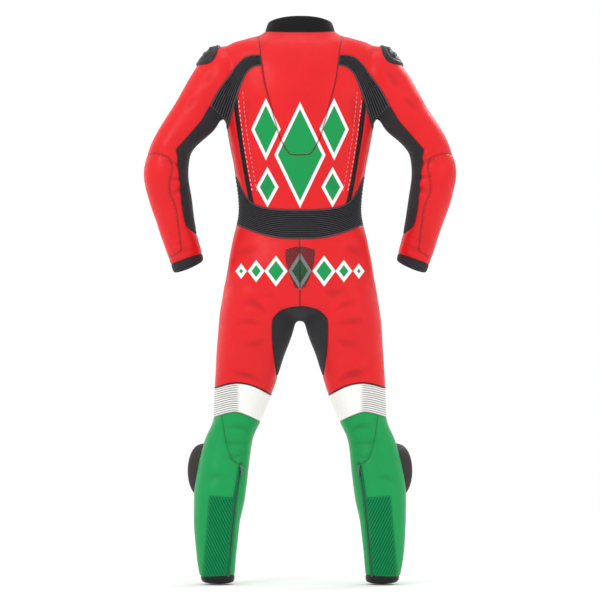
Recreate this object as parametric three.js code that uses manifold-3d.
// One-piece leather race suit, filled out as when worn, with no wearer inside.
// Millimetres, +Z up, the front faces -Y, the wearer's left is +X.
// The origin is at the base of the neck, where the wearer's shoulders carry the suit.

import * as THREE from 'three';
import { mergeVertices } from 'three/addons/utils/BufferGeometryUtils.js';
import Module from 'manifold-3d';

const wasm = await Module();
wasm.setup();

// Driving dimensions
const WALL = 2.2;
const SEAM_GAP = 0.3;
const SEAM_HALF = SEAM_GAP / 2;
const LAY_GAP = 0.3;
const RIB_HEIGHT = 1.2;
const RIB_SUNK = 0.8;
const HEM_EXTEND = 12;
const REACH = 600;
const TORSO_SIDES = 24;
const SLEEVE_SIDES = 12;
const LEG_SIDES = 14;
const TORSO_SQUARENESS = 2.25;
const LIMB_SQUARENESS = 2.05;
const RING_CLEAR = 1;
const MERGE_WITHIN = 1e-4;
const MITRE_LIMIT = 0.3;
const SEARCH_PASSES = 8;

const LOOKS = {
  red: { color: 0xed3237, roughness: 0.55, metalness: 0 },
  green: { color: 0x00a859, roughness: 0.55, metalness: 0 },
  calf: { color: 0x00864a, roughness: 0.7, metalness: 0 },
  white: { color: 0xf4f4f2, roughness: 0.55, metalness: 0 },
  stretch: { color: 0x3a3a3c, roughness: 0.7, metalness: 0 },
  collar: { color: 0x202020, roughness: 0.6, metalness: 0 },
  black: { color: 0x141414, roughness: 0.55, metalness: 0 },
  cup: { color: 0x141414, roughness: 0.4, metalness: 0 },
  patch: { color: 0x3a3a3c, roughness: 0.4, metalness: 0 },
  slider: { color: 0x403839, roughness: 0.6, metalness: 0 },
  metal: { color: 0x8d8d90, roughness: 0.35, metalness: 0.9 },
};

// Torso sections from the crotch up to the top of the collar. Half width, depth in front and behind,
// and how far the ring is lowered at the centre front and raised at the centre back.
const TORSO = [
  { z: -745, half: 70, front: 28, back: 34, frontDrop: 0, backRise: 0 },
  { z: -706, half: 200, front: 84, back: 106, frontDrop: 0, backRise: 0 },
  { z: -620, half: 190, front: 101, back: 124, frontDrop: 0, backRise: 0 },
  { z: -536, half: 175, front: 104, back: 104, frontDrop: 0, backRise: 0 },
  { z: -460, half: 159, front: 101, back: 87, frontDrop: 0, backRise: 0 },
  { z: -350, half: 171, front: 111, back: 107, frontDrop: 0, backRise: 0 },
  { z: -247, half: 190, front: 125, back: 126, frontDrop: 0, backRise: 0 },
  { z: -160, half: 201, front: 121, back: 132, frontDrop: 0, backRise: 0 },
  { z: -100, half: 204, front: 101, back: 122, frontDrop: 6, backRise: 0 },
  { z: -55, half: 202, front: 80, back: 104, frontDrop: 14, backRise: 0 },
  { z: -29, half: 186, front: 69, back: 89, frontDrop: 20, backRise: 0 },
  { z: 2, half: 94, front: 66, back: 66, frontDrop: 30, backRise: -5 },
  { z: 31, half: 83, front: 59, back: 60, frontDrop: 26, backRise: 13 },
];
const NECK_SEAM = { z: 7, half: 94, front: 66, back: 66, frontDrop: 30, backRise: -5 };
const NECK_CUT_SCALE = 1.5;
const NECK_CUT_HEIGHT = 90;

// Left sleeve sections from the cuff up into the shoulder: the outer and the inner edge as seen from
// behind, the half depth, and how far back the middle lies.
const SLEEVE = [
  { outX: 331, outZ: -617, inX: 252, inZ: -586, depth: 40, y: -45 },
  { outX: 372, outZ: -494, inX: 272, inZ: -486, depth: 52, y: -14 },
  { outX: 395, outZ: -424, inX: 279, inZ: -426, depth: 58, y: 4 },
  { outX: 406, outZ: -359, inX: 287, inZ: -359, depth: 60, y: 16 },
  { outX: 392, outZ: -302, inX: 290, inZ: -317, depth: 57, y: 15 },
  { outX: 318, outZ: -171, inX: 228, inZ: -248, depth: 62, y: 7 },
  { outX: 274, outZ: -94, inX: 198, inZ: -220, depth: 67, y: 5 },
  { outX: 247, outZ: -58, inX: 187, inZ: -222, depth: 73, y: 4 },
  { outX: 219, outZ: -40, inX: 172, inZ: -222, depth: 76, y: 4 },
  { outX: 180, outZ: -38, inX: 148, inZ: -214, depth: 64, y: 4 },
];

// Left leg sections from the hem up into the hip: outer and inner edge, depth in front and behind,
// and how far back the middle lies.
const LEG = [
  { z: -1426, out: 254, in: 171, front: 42, back: 44, y: 12 },
  { z: -1274, out: 275, in: 157, front: 54, back: 62, y: 2 },
  { z: -1201, out: 276, in: 142, front: 62, back: 69, y: -8 },
  { z: -1134, out: 268, in: 134, front: 70, back: 66, y: -18 },
  { z: -1060, out: 249, in: 125, front: 74, back: 60, y: -24 },
  { z: -998, out: 225, in: 98, front: 70, back: 62, y: -18 },
  { z: -918, out: 219, in: 67, front: 76, back: 72, y: -10 },
  { z: -850, out: 214, in: 47, front: 81, back: 82, y: -3 },
  { z: -744, out: 206, in: 12, front: 86, back: 98, y: 4 },
  { z: -680, out: 196, in: 6, front: 84, back: 102, y: 4 },
  { z: -619, out: 180, in: 16, front: 70, back: 84, y: 6 },
];

// Where the side seams lie, as depth over height, on the body with its legs and on the sleeves
const BODY_SEAM = [
  { z: 120, y: 4 }, { z: -250, y: 4 }, { z: -400, y: 0 }, { z: -700, y: 4 }, { z: -900, y: -8 },
  { z: -1060, y: -24 }, { z: -1200, y: -8 }, { z: -1500, y: 14 },
];
const SLEEVE_SEAM = [
  { z: 120, y: 4 }, { z: -250, y: 4 }, { z: -330, y: 15 }, { z: -370, y: 15 }, { z: -425, y: 4 },
  { z: -490, y: -14 }, { z: -570, y: -37 }, { z: -640, y: -50 },
];
const SLEEVE_SPLIT_X = 212;
const SPLIT_OVERLAP = 1;

// Seam outlines of the left half as seen from behind, each point as [x, z]
const CENTRE_PANEL_EDGE = [
  [108, 60], [108, -4], [102, -55], [91, -132], [76, -187], [52, -272], [27, -315],
];
const BLADE_UPPER = [
  [95, -58], [137, -62], [166, -86], [179, -107], [209, -147], [232, -188],
];
const BLADE_LOWER = [
  [95, -86], [116, -88], [136, -103], [154, -140], [166, -177], [191, -258],
];
const BLADE_ARMPIT = [[199, -222], [199, -258]];
const BLADE_RIBS = 3;
const UNDERSLEEVE = [
  [232, -188], [256, -228], [301, -281], [319, -301], [316, -380], [300, -494], [268, -522], [250, -515],
  [262, -400], [270, -330], [222, -268], [199, -222],
];
const STRIP_LINE = [[170, -140], [168, -172], [159, -252], [147, -330], [132, -413], [122, -455]];
const STRIP_WIDTH = 9;
const LUMBAR = [
  { x: 0, top: -459, bottom: -533 },
  { x: 47, top: -458, bottom: -532 },
  { x: 92, top: -453, bottom: -523 },
  { x: 126, top: -439, bottom: -512 },
  { x: 148, top: -411, bottom: -503 },
  { x: 166, top: -372, bottom: -497 },
  { x: 185, top: -350, bottom: -492 },
];
const LUMBAR_RIBS = 7;
const BLADE_RIB_WIDTH = 3;
const ELBOW = [
  [430, -318], [392, -315], [374, -312], [342, -321], [330, -341], [337, -406], [323, -445], [314, -499],
  [307, -564], [339, -582], [372, -594], [430, -560],
];
const SLEEVE_CUFF = [
  [366, -609], [338, -599], [258, -571], [236, -563], [225, -610], [330, -660], [390, -630],
];
const SLEEVE_FRONT = [
  [208, 60], [212, -60], [211, -130], [206, -190], [199, -222], [204, -258], [240, -700],
  [REACH, -700], [REACH, 60],
];
const CROTCH = [
  [0, -709], [40, -716], [66, -735], [71, -751], [69, -815], [60, -889],
];
const COCCYX = [[0, -554], [20, -556], [39, -563], [36, -595], [26, -630], [13, -660], [0, -662]];
const COCCYX_THICK = 2;
const KNEE_TOP = [[243, -922], [217, -919], [158, -907], [73, -940], [45, -948]];
const KNEE_BOTTOM = [[250, -1002], [225, -996], [167, -982], [102, -1009], [70, -1020]];
const KNEE_RIBS = 8;
const KNEE_RIB_FADE = { from: 135, to: 165 };
const RIB_MARGIN = 0.05;
const CALF_SEAM = [[205, -960], [203, -988], [192, -1058], [176, -1104], [156, -1118]];
const LEG_ZIP = [[153, -1118], [166, -1204], [172, -1258], [187, -1411]];
const ZIP_WIDTH = 9;
const CALF_STRETCH = [[252, -1411], [234, -1199], [166, -1204], [172, -1258], [187, -1411]];
const CALF_INNER = [...CALF_SEAM, ...LEG_ZIP, [120, -1411], [90, -960]];
const ANKLE_CUFF = [[300, -1412], [257, -1409], [170, -1404], [120, -1402], [120, -1470], [300, -1470]];
const FRONT_ZIP = { line: [[0, 60], [0, -655]], backLimit: -10 };
const FRONT_PANEL = [[0, 60], [REACH, 60], [REACH, -505], [0, -505]];
const LEFT_HALF = [
  [SEAM_HALF, REACH], [REACH, REACH], [REACH, -3 * REACH], [SEAM_HALF, -3 * REACH],
];

// A place inside each piece that is told from its neighbours by where it lies
const PLACES = {
  back: [60, 120, -380],
  side: [182, 20, -330],
  sleeveBack: [330, 60, -240],
  seat: [120, 110, -620],
  calfOuter: [230, 40, -1100],
  thighFront: [120, -100, -700],
  shin: [205, -90, -1200],
};

// Shoulder cups: an oval of the shoulder's own surface, moved out, with ridges across its outer edge
const CUP = {
  x: 240, y: -18, z: -52, radiusX: 50, radiusY: 62, radiusZ: 42, thick: 4,
};
const CUP_SIDES = 14;
const CUP_RIDGES = [[213, -33], [229, -43], [244, -56]];
const CUP_RIDGE = { height: 2, width: 6, reach: 30, leanX: 0.55, leanZ: 0.83 };

// Knee sliders: rounded pucks on the outside of the knee, each flush on the leg
const PUCK = {
  x: 252, y: -58, z: -1132, turnDeg: 35, radius: 50, height: 71, sunk: 26,
};
const PUCK_PROFILE = [[0, 27], [30, 25.5], [41, 21.5], [47.5, 13], [50, 0]];
const PUCK_SIDES = 18;

// Zip sliders, each with a bar between two cheeks, and the pull tabs that swing on the bars
const SLIDER = { width: 8, length: 14, thick: 2 };
const CHEEK = { width: 1.2, length: 4.4, gap: 4.8 };
const BAR = { radius: 0.8, height: 4.5 };
const TAB_LOOP = { outer: 2, inner: 1.2 };
const TAB = { width: 4, length: 20, thick: 1.4 };
const ROUND_SIDES = 8;
const SLIDER_LIFT = 0.5;
const LEG_SLIDER_Z = -1127;
const FRONT_SLIDER_Z = -7;

// Rings, normals and lofts
const powered = (value, exponent) => Math.sign(value) * Math.abs(value) ** (2 / exponent);

function ringOf(sides, squareness, place) {
  return [...Array(sides).keys()].map((side) => {
    const angle = (2 * Math.PI * side) / sides;
    return place(powered(Math.cos(angle), squareness), powered(Math.sin(angle), squareness));
  });
}

const torsoRing = (row) => ringOf(TORSO_SIDES, TORSO_SQUARENESS, (across, along) => {
  const lift = along > 0 ? row.backRise * along ** 2 : -row.frontDrop * along ** 2;
  const depth = along > 0 ? row.back : row.front;
  return new THREE.Vector3(row.half * across, depth * along, row.z + lift);
});

function sleeveRing(row) {
  const outer = new THREE.Vector3(row.outX, row.y, row.outZ);
  const inner = new THREE.Vector3(row.inX, row.y, row.inZ);
  const middle = outer.clone().add(inner).multiplyScalar(0.5);
  const reach = outer.clone().sub(middle);
  return ringOf(SLEEVE_SIDES, LIMB_SQUARENESS, (across, along) => {
    const point = middle.clone().addScaledVector(reach, across);
    point.y += row.depth * along;
    return point;
  });
}

const legRing = (row) => ringOf(LEG_SIDES, LIMB_SQUARENESS, (across, along) => {
  const middle = (row.out + row.in) / 2;
  const reach = (row.out - row.in) / 2;
  const depth = along > 0 ? row.back : row.front;
  return new THREE.Vector3(middle + reach * across, row.y + depth * along, row.z);
});

// Moves every ring point along the surface's own normal
function offsetRings(rings, distance) {
  const last = rings.length - 1;
  return rings.map((ring, row) => ring.map((point, side) => {
    const before = ring[(side + ring.length - 1) % ring.length];
    const after = ring[(side + 1) % ring.length];
    const below = rings[Math.max(row - 1, 0)][side];
    const above = rings[Math.min(row + 1, last)][side];
    const around = after.clone().sub(before);
    const up = above.clone().sub(below);
    const normal = around.cross(up).normalize();
    return point.clone().addScaledVector(normal, distance);
  }));
}

// Lengthens an open end past the garment's edge, so that the hollow runs out of it
function extended(rings, atStart) {
  const end = atStart ? rings[0] : rings[rings.length - 1];
  const inside = atStart ? rings[1] : rings[rings.length - 2];
  const extra = end.map((point, side) => {
    const step = point.clone().sub(inside[side]).normalize();
    return point.clone().addScaledVector(step, HEM_EXTEND);
  });
  return atStart ? [extra, ...rings] : [...rings, extra];
}

const mirroredRings = (rings) => rings.map(
  (ring) => ring.map((point) => new THREE.Vector3(-point.x, point.y, point.z)).reverse(),
);

function loftGeometry(rings) {
  const count = rings[0].length;
  const centreOf = (ring) => ring
    .reduce((sum, point) => sum.add(point), new THREE.Vector3())
    .divideScalar(count);
  const points = [...rings.flat(), centreOf(rings[0]), centreOf(rings[rings.length - 1])];
  const bottomCentre = rings.length * count;
  const topCentre = bottomCentre + 1;
  const topStart = (rings.length - 1) * count;
  const faces = [];
  for (let side = 0; side < count; side += 1) {
    const next = (side + 1) % count;
    for (let row = 0; row < rings.length - 1; row += 1) {
      const low = row * count;
      const high = low + count;
      faces.push(low + side, low + next, high + next);
      faces.push(low + side, high + next, high + side);
    }
    faces.push(bottomCentre, next, side);
    faces.push(topCentre, topStart + side, topStart + next);
  }
  const geometry = new THREE.BufferGeometry().setFromPoints(points);
  geometry.setIndex(faces);
  return geometry;
}

// Solids for joining and cutting
function toSolid(source) {
  const bare = source.clone();
  bare.deleteAttribute('normal');
  bare.deleteAttribute('uv');
  const merged = mergeVertices(bare, MERGE_WITHIN);
  const solid = new wasm.Manifold(new wasm.Mesh({
    numProp: 3,
    vertProperties: new Float32Array(merged.attributes.position.array),
    triVerts: new Uint32Array(merged.index.array),
  }));
  return solid.volume() < 0 ? toSolid(reversed(bare)) : solid;
}

function toGeometry(solid) {
  const mesh = solid.getMesh();
  const geometry = new THREE.BufferGeometry();
  geometry.setAttribute('position', new THREE.BufferAttribute(new Float32Array(mesh.vertProperties), 3));
  geometry.setIndex([...mesh.triVerts]);
  return geometry;
}

// Turns every face round
function reversed(source) {
  const geometry = mergeVertices(source);
  const index = [...geometry.index.array];
  for (let corner = 0; corner < index.length; corner += 3) {
    [index[corner], index[corner + 1]] = [index[corner + 1], index[corner]];
  }
  geometry.setIndex(index);
  return geometry;
}

const mirroredGeometry = (source) => reversed(source.clone().scale(-1, 1, 1));

const loftSolid = (rings) => toSolid(loftGeometry(rings));

// The whole garment's outer form, moved out by a distance, or its hollow with the open ends run out
function bodySolid(distance, hollow) {
  const torso = offsetRings(TORSO.map(torsoRing), distance);
  const sleeve = offsetRings(SLEEVE.map(sleeveRing), distance);
  const leg = offsetRings(LEG.map(legRing), distance);
  if (hollow) {
    torso[0].forEach((point) => { point.z -= distance; });
  }
  const torsoRings = hollow ? extended(torso, false) : torso;
  const sleeveRings = hollow ? extended(sleeve, true) : sleeve;
  const legRings = hollow ? extended(leg, true) : leg;
  return loftSolid(torsoRings)
    .add(loftSolid(sleeveRings))
    .add(loftSolid(mirroredRings(sleeveRings)))
    .add(loftSolid(legRings))
    .add(loftSolid(mirroredRings(legRings)));
}

// Outlines in the view from behind
function signedArea(outline) {
  return outline.reduce((sum, [x, z], index) => {
    const [nextX, nextZ] = outline[(index + 1) % outline.length];
    return sum + x * nextZ - nextX * z;
  }, 0) / 2;
}

// Moves an outline's edges out by a distance, or in when it is negative
function grown(outline, distance) {
  const turn = Math.sign(signedArea(outline));
  return outline.map(([x, z], index) => {
    const [beforeX, beforeZ] = outline[(index + outline.length - 1) % outline.length];
    const [afterX, afterZ] = outline[(index + 1) % outline.length];
    const incoming = new THREE.Vector2(x - beforeX, z - beforeZ).normalize();
    const outgoing = new THREE.Vector2(afterX - x, afterZ - z).normalize();
    const first = new THREE.Vector2(incoming.y, -incoming.x);
    const second = new THREE.Vector2(outgoing.y, -outgoing.x);
    const mitre = first.clone().add(second).normalize();
    const reach = (distance * turn) / Math.max(mitre.dot(first), MITRE_LIMIT);
    return [x + mitre.x * reach, z + mitre.y * reach];
  });
}

function prism(outline, yMin, yMax) {
  const shape = new THREE.Shape(outline.map(([x, z]) => new THREE.Vector2(x, z)));
  const geometry = new THREE.ExtrudeGeometry(shape, { depth: yMax - yMin, bevelEnabled: false });
  geometry.rotateX(Math.PI / 2);
  geometry.translate(0, yMax, 0);
  return toSolid(geometry);
}

const mirroredLine = (line) => line.map(([x, z]) => [-x, z]).reverse();

// A band of even width round a line, with square ends
function band(line, width) {
  const sides = [1, -1].map((sign) => line.map(([x, z], index) => {
    const [beforeX, beforeZ] = line[Math.max(index - 1, 0)];
    const [afterX, afterZ] = line[Math.min(index + 1, line.length - 1)];
    const along = new THREE.Vector2(afterX - beforeX, afterZ - beforeZ).normalize();
    return [x + (sign * along.y * width) / 2, z - (sign * along.x * width) / 2];
  }));
  return [...sides[0], ...sides[1].reverse()];
}

function between(lineA, lineB, share) {
  return lineA.map(([x, z], index) => [
    x + (lineB[index][0] - x) * share,
    z + (lineB[index][1] - z) * share,
  ]);
}

// Cuts one piece out of a source along its outline, and leaves the seam's gap on both sides
function peel(source, outline, yMin = -REACH, yMax = REACH) {
  return {
    piece: source.intersect(prism(grown(outline, -SEAM_HALF), yMin, yMax)),
    rest: source.subtract(prism(grown(outline, SEAM_HALF), yMin, yMax)),
  };
}

// Of a cut's separate bodies, the one with a point closest to a given place
function bodyAt(solid, place) {
  let best = null;
  let bestDistance = Infinity;
  for (const candidate of solid.decompose()) {
    const { vertProperties } = candidate.getMesh();
    for (let index = 0; index < vertProperties.length; index += 3) {
      const distance = Math.hypot(
        vertProperties[index] - place[0],
        vertProperties[index + 1] - place[1],
        vertProperties[index + 2] - place[2],
      );
      if (distance < bestDistance) {
        bestDistance = distance;
        best = candidate;
      }
    }
  }
  return best;
}

// Everything behind (or in front of) the side seams, as one cutter
function seamCutter(sign) {
  const slab = (seam, xMin, xMax) => {
    const bottom = seam[seam.length - 1].z;
    const outline = [
      ...seam.map(({ z, y }) => new THREE.Vector2(y + sign * SEAM_HALF, z)),
      new THREE.Vector2(sign * REACH, bottom),
      new THREE.Vector2(sign * REACH, seam[0].z),
    ];
    const geometry = new THREE.ExtrudeGeometry(
      new THREE.Shape(outline),
      { depth: xMax - xMin, bevelEnabled: false },
    );
    geometry.applyMatrix4(new THREE.Matrix4().makeBasis(
      new THREE.Vector3(0, 1, 0),
      new THREE.Vector3(0, 0, 1),
      new THREE.Vector3(1, 0, 0),
    ));
    geometry.translate(xMin, 0, 0);
    return toSolid(geometry);
  };
  const sleeveEnd = SLEEVE_SEAM[SLEEVE_SEAM.length - 1].z;
  const besideBody = [
    [SLEEVE_SPLIT_X, REACH], [REACH * 2, REACH], [REACH * 2, sleeveEnd], [SLEEVE_SPLIT_X, sleeveEnd],
  ];
  return slab(BODY_SEAM, -REACH, REACH)
    .subtract(prism(besideBody, -REACH * 2, REACH * 2))
    .subtract(prism(mirroredLine(besideBody), -REACH * 2, REACH * 2))
    .add(slab(SLEEVE_SEAM, SLEEVE_SPLIT_X - SPLIT_OVERLAP, REACH))
    .add(slab(SLEEVE_SEAM, -REACH, SPLIT_OVERLAP - SLEEVE_SPLIT_X));
}

// Everything above the neck seam: the seam's ring widened, so that it cuts straight outwards
function neckCutter(lift) {
  const seam = torsoRing(NECK_SEAM);
  const middle = seam.reduce((sum, point) => sum + point.z, 0) / seam.length;
  const bottom = seam.map((point) => new THREE.Vector3(
    point.x * NECK_CUT_SCALE,
    point.y * NECK_CUT_SCALE,
    middle + (point.z - middle) * NECK_CUT_SCALE + lift,
  ));
  const top = bottom.map((point) => new THREE.Vector3(point.x, point.y, NECK_CUT_HEIGHT));
  return loftSolid([bottom, top]);
}

// The outer surface straight behind (sign 1) or in front of (sign -1) a place seen from behind
function surfaceAt(solid, x, z, sign) {
  const { vertProperties, triVerts } = solid.getMesh();
  const corner = (index) => new THREE.Vector3().fromArray(vertProperties, triVerts[index] * 3);
  const ray = new THREE.Ray(new THREE.Vector3(x, sign * REACH, z), new THREE.Vector3(0, -sign, 0));
  let nearest = null;
  for (let index = 0; index < triVerts.length; index += 3) {
    const triangle = new THREE.Triangle(corner(index), corner(index + 1), corner(index + 2));
    const hit = ray.intersectTriangle(triangle.a, triangle.b, triangle.c, true, new THREE.Vector3());
    if (hit && (!nearest || sign * hit.y > sign * nearest.point.y)) {
      nearest = { point: hit, normal: triangle.getNormal(new THREE.Vector3()) };
    }
  }
  return nearest;
}

const symmetric = (line) => [...line, ...mirroredLine(line).filter(([x]) => x !== 0)];
const closedBetween = (lineA, lineB) => [...lineA, ...[...lineB].reverse()];
const fullLine = (line) => [...mirroredLine(line), ...line.slice(1)];
const joined = (solids) => solids.reduce((sum, solid) => sum.add(solid));

// A place on a tube of rings at a height and an angle, on the flat facet between its corners
function onRings(rings, z, degrees) {
  const upper = Math.max(1, rings.findIndex((ring) => ring[0].z >= z));
  const share = (z - rings[upper - 1][0].z) / (rings[upper][0].z - rings[upper - 1][0].z);
  const count = rings[0].length;
  const turn = (((degrees / 360) * count) % count + count) % count;
  const side = Math.floor(turn) % count;
  const onRing = (ring) => ring[side].clone().lerp(ring[(side + 1) % count], turn - Math.floor(turn));
  return onRing(rings[upper - 1]).lerp(onRing(rings[upper]), share);
}

// A raised rib of roof section, its foot sunk in the wall, through places on the surface
function ribSolid(points, normals, width) {
  const rings = points.map((point, index) => {
    const before = points[Math.max(index - 1, 0)];
    const after = points[Math.min(index + 1, points.length - 1)];
    const along = after.clone().sub(before).normalize();
    const across = normals[index].clone().cross(along).normalize();
    const foot = point.clone().addScaledVector(normals[index], -RIB_SUNK);
    return [
      foot.clone().addScaledVector(across, width / 2),
      foot.clone().addScaledVector(across, -width / 2),
      point.clone().addScaledVector(normals[index], RIB_HEIGHT),
    ];
  });
  return loftSolid(rings);
}

// A line's height at a distance from the middle
function heightAt(line, x) {
  const sorted = [...line].sort((a, b) => a[0] - b[0]);
  const next = Math.min(Math.max(sorted.findIndex(([lineX]) => lineX > x), 1), sorted.length - 1);
  const [x0, z0] = sorted[next - 1];
  const [x1, z1] = sorted[next];
  return z0 + ((x - x0) / (x1 - x0)) * (z1 - z0);
}

// Ring points along two lines seen from behind, with every second ring raised as a rib.
// The raise is scaled by a function of the place across.
function ribbedRings(rings, upperLine, lowerLine, ribCount, raise) {
  const rowCount = ribCount * 2 + 1;
  const count = rings[0].length;
  const placeAt = (share, degrees) => {
    let z = heightAt(upperLine, 0);
    for (let pass = 0; pass < SEARCH_PASSES; pass += 1) {
      const { x } = onRings(rings, z, degrees);
      z = heightAt(lowerLine, x) * (1 - share) + heightAt(upperLine, x) * share;
    }
    return onRings(rings, z, degrees);
  };
  const rows = [...Array(rowCount).keys()].map((row) => {
    const share = RIB_MARGIN + ((1 - 2 * RIB_MARGIN) * row) / (rowCount - 1);
    return [...Array(count).keys()].map((side) => placeAt(share, (360 * side) / count));
  });
  const lifted = offsetRings(rows, RIB_HEIGHT);
  return rows.map((ring, row) => ring.map((point, side) => (
    row % 2 ? point.clone().lerp(lifted[row][side], raise(point)) : point
  )));
}

// A tube's rings with some of them replaced by ribbed ones
function withRibs(rings, ribbedPart) {
  const heights = ribbedPart.flat().map((point) => point.z);
  const low = Math.min(...heights) - RING_CLEAR;
  const high = Math.max(...heights) + RING_CLEAR;
  return [
    ...rings.filter((ring) => ring[0].z < low),
    ...ribbedPart,
    ...rings.filter((ring) => ring[0].z > high),
  ];
}

// Zip hardware, modelled with its width along X, its length along Y and its height along Z
const boxSolid = (width, length, thick, x, y, z) => toSolid(
  new THREE.BoxGeometry(width, length, thick).translate(x, y, z),
);
function rodAcross(shape, length, height = 0) {
  const geometry = new THREE.ExtrudeGeometry(shape, {
    depth: length, bevelEnabled: false, curveSegments: ROUND_SIDES,
  });
  geometry.translate(0, 0, -length / 2);
  geometry.rotateY(Math.PI / 2);
  geometry.translate(0, 0, height);
  return toSolid(geometry);
}
const disc = (radius) => new THREE.Shape().absarc(0, 0, radius, 0, 2 * Math.PI);

function sliderSolid() {
  const cheekTop = BAR.height + CHEEK.length / 2;
  const cheekRise = cheekTop - SLIDER.thick / 2;
  const cheekX = (CHEEK.gap + CHEEK.width) / 2;
  const cheeks = [1, -1].map((sign) => boxSolid(
    CHEEK.width, CHEEK.length, cheekRise, sign * cheekX, 0, cheekTop - cheekRise / 2,
  ));
  const bar = rodAcross(disc(BAR.radius), CHEEK.gap + CHEEK.width, BAR.height);
  return joined([boxSolid(SLIDER.width, SLIDER.length, SLIDER.thick, 0, 0, SLIDER.thick / 2), ...cheeks, bar]);
}

// The tab's origin is the bar's middle, and it hangs along -Y
function tabSolid() {
  const ring = disc(TAB_LOOP.outer);
  ring.holes.push(new THREE.Path().absarc(0, 0, TAB_LOOP.inner, 0, 2 * Math.PI));
  const overlap = (TAB_LOOP.outer + TAB_LOOP.inner) / 2;
  const plate = boxSolid(TAB.width, TAB.length, TAB.thick, 0, -overlap - TAB.length / 2, 0);
  return rodAcross(ring, TAB.width).add(plate);
}

// The suit's pieces
const parts = new THREE.Group();

function addPiece(name, geometry, look) {
  const mesh = new THREE.Mesh(geometry, new THREE.MeshStandardMaterial(LOOKS[look]));
  mesh.name = name;
  parts.add(mesh);
  return mesh;
}

function addPair(name, solid, look) {
  const geometry = toGeometry(solid);
  addPiece(`${name}_left`, geometry, look);
  addPiece(`${name}_right`, mirroredGeometry(geometry), look);
}

const outer = bodySolid(0, false);
const hollow = bodySolid(-WALL, true);
const shell = outer.subtract(hollow);

// Ribs on the back of the cloth along lines seen from behind
function ribsAlong(lines, width) {
  return lines.map((line) => {
    const hits = line.map(([x, z]) => surfaceAt(outer, x, z, 1));
    return ribSolid(hits.map((hit) => hit.point), hits.map((hit) => hit.normal), width);
  });
}

// Takes a piece off the cloth that is left
const cloth = { rest: shell };
function take(outline, yMin, yMax) {
  const cut = peel(cloth.rest, outline, yMin, yMax);
  cloth.rest = cut.rest;
  return cut.piece;
}

// Pieces that run round from back to front
const frontZip = take(band(FRONT_ZIP.line, ZIP_WIDTH), -REACH, FRONT_ZIP.backLimit);
const collar = cloth.rest.intersect(neckCutter(SEAM_HALF));
cloth.rest = cloth.rest.subtract(neckCutter(-SEAM_HALF));
const crotch = take(symmetric(CROTCH));
const undersleeve = take(UNDERSLEEVE);
const sleeveCuff = take(SLEEVE_CUFF);
const kneeOutline = closedBetween(KNEE_TOP, KNEE_BOTTOM);
const legRings = LEG.map(legRing);
const torsoRings = TORSO.map(torsoRing);
const kneeRaise = ({ x }) => THREE.MathUtils.smoothstep(x, KNEE_RIB_FADE.from, KNEE_RIB_FADE.to);
const kneeRings = withRibs(legRings, ribbedRings(legRings, KNEE_TOP, KNEE_BOTTOM, KNEE_RIBS, kneeRaise));
take(kneeOutline);
const kneeBand = loftSolid(kneeRings)
  .subtract(hollow)
  .intersect(prism(grown(kneeOutline, -SEAM_HALF), -REACH, REACH));
const ankleCuff = take(ANKLE_CUFF);

// The rest is parted at the side seams
const behind = seamCutter(1);
const before = seamCutter(-1);
const front = cloth.rest.intersect(before);
cloth.rest = cloth.rest.intersect(behind);

// Back of the trunk
const lumbarTop = LUMBAR.map(({ x, top }) => [x, top]);
const lumbarBottom = LUMBAR.map(({ x, bottom }) => [x, bottom]);
const lumbarOutline = closedBetween(fullLine(lumbarTop), fullLine(lumbarBottom));
const lumbarRings = withRibs(
  torsoRings,
  ribbedRings(torsoRings, fullLine(lumbarTop), fullLine(lumbarBottom), LUMBAR_RIBS, () => 1),
);
take(lumbarOutline);
const lumbar = loftSolid(lumbarRings)
  .subtract(hollow)
  .intersect(prism(grown(lumbarOutline, -SEAM_HALF), -REACH, REACH))
  .intersect(behind);
const backCentre = take([...CENTRE_PANEL_EDGE, ...mirroredLine(CENTRE_PANEL_EDGE)]);
const bladeOutline = [...BLADE_UPPER, ...BLADE_ARMPIT, ...[...BLADE_LOWER].reverse()];
const bladeRibLines = [...Array(BLADE_RIBS).keys()].map((rib) => between(
  BLADE_UPPER,
  BLADE_LOWER,
  (rib + 1) / (BLADE_RIBS + 1),
).slice(1, -1));
const blade = joined([take(bladeOutline), ...ribsAlong(bladeRibLines, BLADE_RIB_WIDTH)]);
take(mirroredLine(bladeOutline));
const stripOutline = band(STRIP_LINE, STRIP_WIDTH);
const strip = take(stripOutline);
take(mirroredLine(stripOutline));
const back = bodyAt(cloth.rest, PLACES.back);

// Left half of what is left behind
const leftHalf = prism(LEFT_HALF, -REACH, REACH);
cloth.rest = cloth.rest.intersect(leftHalf);
const elbow = take(ELBOW);
const legZip = take(band(LEG_ZIP, ZIP_WIDTH));
const calfStretch = take(CALF_STRETCH);
const calfInner = take(CALF_INNER);
const side = bodyAt(cloth.rest, PLACES.side);
const sleeveBack = bodyAt(cloth.rest, PLACES.sleeveBack);
const seat = bodyAt(cloth.rest, PLACES.seat);
const calfOuter = bodyAt(cloth.rest, PLACES.calfOuter);

// Left half of the front
cloth.rest = front.intersect(leftHalf);
const sleeveFront = take(SLEEVE_FRONT);
const frontPanel = take(FRONT_PANEL);
const thighFront = bodyAt(cloth.rest, PLACES.thighFront);
const shin = bodyAt(cloth.rest, PLACES.shin);

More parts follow.
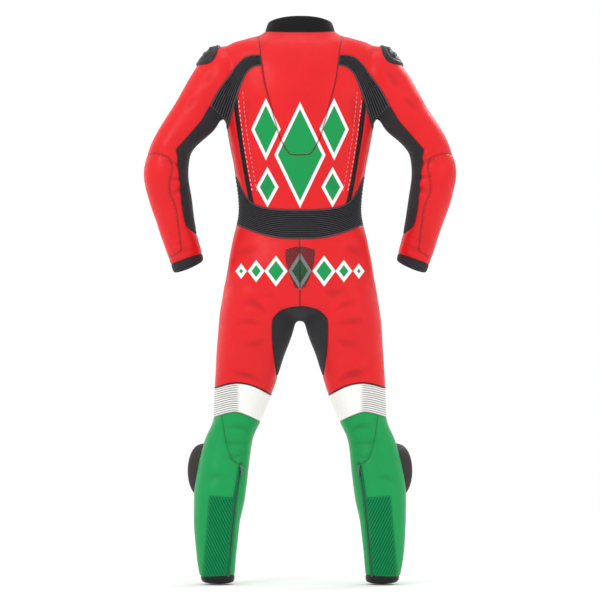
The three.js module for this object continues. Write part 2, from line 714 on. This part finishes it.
// What lies on the cloth: the coccyx patch and the shoulder cups
const laidOn = (thick) => bodySolid(LAY_GAP + thick, false).subtract(bodySolid(LAY_GAP, false));
const coccyx = laidOn(COCCYX_THICK).intersect(prism(symmetric(COCCYX), 0, REACH));
const oval = toSolid(new THREE.SphereGeometry(1, CUP_SIDES, CUP_SIDES / 2)
  .scale(CUP.radiusX, CUP.radiusY, CUP.radiusZ)
  .translate(CUP.x, CUP.y, CUP.z));
const ridgeBands = CUP_RIDGES.map(([x, z]) => prism(band([
  [x - CUP_RIDGE.leanX * CUP_RIDGE.reach, z - CUP_RIDGE.leanZ * CUP_RIDGE.reach],
  [x + CUP_RIDGE.leanX * CUP_RIDGE.reach, z + CUP_RIDGE.leanZ * CUP_RIDGE.reach],
], CUP_RIDGE.width), -REACH, REACH));
const ridges = laidOn(CUP.thick + CUP_RIDGE.height).intersect(joined(ridgeBands)).intersect(oval);
const shoulderCup = laidOn(CUP.thick).intersect(oval).add(ridges);

// Knee slider: a turned puck, taller than wide, its back hollowed to the leg
const puckLine = [...PUCK_PROFILE, [PUCK.radius, -PUCK.sunk], [0, -PUCK.sunk]]
  .map(([radius, height]) => new THREE.Vector2(radius, height));
const puckTurn = THREE.MathUtils.degToRad(PUCK.turnDeg);
const puckOut = new THREE.Vector3(Math.cos(puckTurn), -Math.sin(puckTurn), 0);
const up = new THREE.Vector3(0, 0, 1);
const puckGeometry = new THREE.LatheGeometry(puckLine, PUCK_SIDES)
  .scale(1, 1, PUCK.height / PUCK.radius)
  .applyMatrix4(new THREE.Matrix4().makeBasis(puckOut.clone().cross(up), puckOut, up))
  .translate(PUCK.x, PUCK.y, PUCK.z);
const kneeSlider = toSolid(puckGeometry).subtract(bodySolid(LAY_GAP, false));

// The cloth pieces, then the hard ones
addPiece('collar', toGeometry(collar), 'collar');
addPiece('front_zip', toGeometry(frontZip), 'black');
addPiece('crotch', toGeometry(crotch), 'stretch');
addPiece('lumbar_stretch', toGeometry(lumbar), 'stretch');
addPiece('back_centre', toGeometry(backCentre), 'red');
addPiece('back', toGeometry(back), 'red');
addPair('undersleeve', undersleeve, 'stretch');
addPair('sleeve_cuff', sleeveCuff, 'stretch');
addPair('knee_band', kneeBand, 'white');
addPair('ankle_cuff', ankleCuff, 'black');
addPair('blade_stretch', blade, 'stretch');
addPair('back_strip', strip, 'black');
addPair('elbow', elbow, 'red');
addPair('leg_zip', legZip, 'black');
addPair('calf_stretch', calfStretch, 'calf');
addPair('calf_inner', calfInner, 'green');
addPair('side', side, 'red');
addPair('sleeve_back', sleeveBack, 'red');
addPair('seat', seat, 'red');
addPair('calf_outer', calfOuter, 'green');
addPair('sleeve_front', sleeveFront, 'red');
addPair('front', frontPanel, 'red');
addPair('thigh_front', thighFront, 'red');
addPair('shin', shin, 'green');

addPiece('coccyx_patch', toGeometry(coccyx), 'patch');
addPair('shoulder_cup', shoulderCup, 'cup');
addPair('knee_slider', kneeSlider, 'slider');

// Stands a slider and its tab on the cloth: x and z as seen from behind, sign 1 behind, -1 in front,
// and the zip's own direction downwards
function placeZipPull(name, x, z, sign, downX, downZ) {
  const { point, normal } = surfaceAt(outer, x, z, sign);
  const out = normal.clone();
  if (x === 0) {
    out.setX(0).normalize();
  }
  const upZip = new THREE.Vector3(-downX, 0, -downZ);
  upZip.addScaledVector(out, -upZip.dot(out)).normalize();
  const across = upZip.clone().cross(out);
  const turn = new THREE.Quaternion().setFromRotationMatrix(
    new THREE.Matrix4().makeBasis(across, upZip, out),
  );
  const slider = addPiece(name.replace('ZIP', 'zip_slider'), toGeometry(sliderSolid()), 'metal');
  slider.position.copy(point).addScaledVector(out, SLIDER_LIFT);
  slider.quaternion.copy(turn);
  const tab = addPiece(name.replace('ZIP', 'zip_pull'), toGeometry(tabSolid()), 'metal');
  tab.position.copy(slider.position).addScaledVector(out, BAR.height);
  tab.quaternion.copy(turn);
}

const legZipTop = LEG_ZIP[0];
const legZipNext = LEG_ZIP[1];
const legSliderShare = (LEG_SLIDER_Z - legZipTop[1]) / (legZipNext[1] - legZipTop[1]);
const legSliderX = legZipTop[0] + (legZipNext[0] - legZipTop[0]) * legSliderShare;
const legZipRun = [legZipNext[0] - legZipTop[0], legZipNext[1] - legZipTop[1]];
placeZipPull('front_ZIP', 0, FRONT_SLIDER_Z, -1, 0, -1);
placeZipPull('leg_ZIP_left', legSliderX, LEG_SLIDER_Z, 1, legZipRun[0], legZipRun[1]);
placeZipPull('leg_ZIP_right', -legSliderX, LEG_SLIDER_Z, 1, -legZipRun[0], legZipRun[1]);

export default parts;
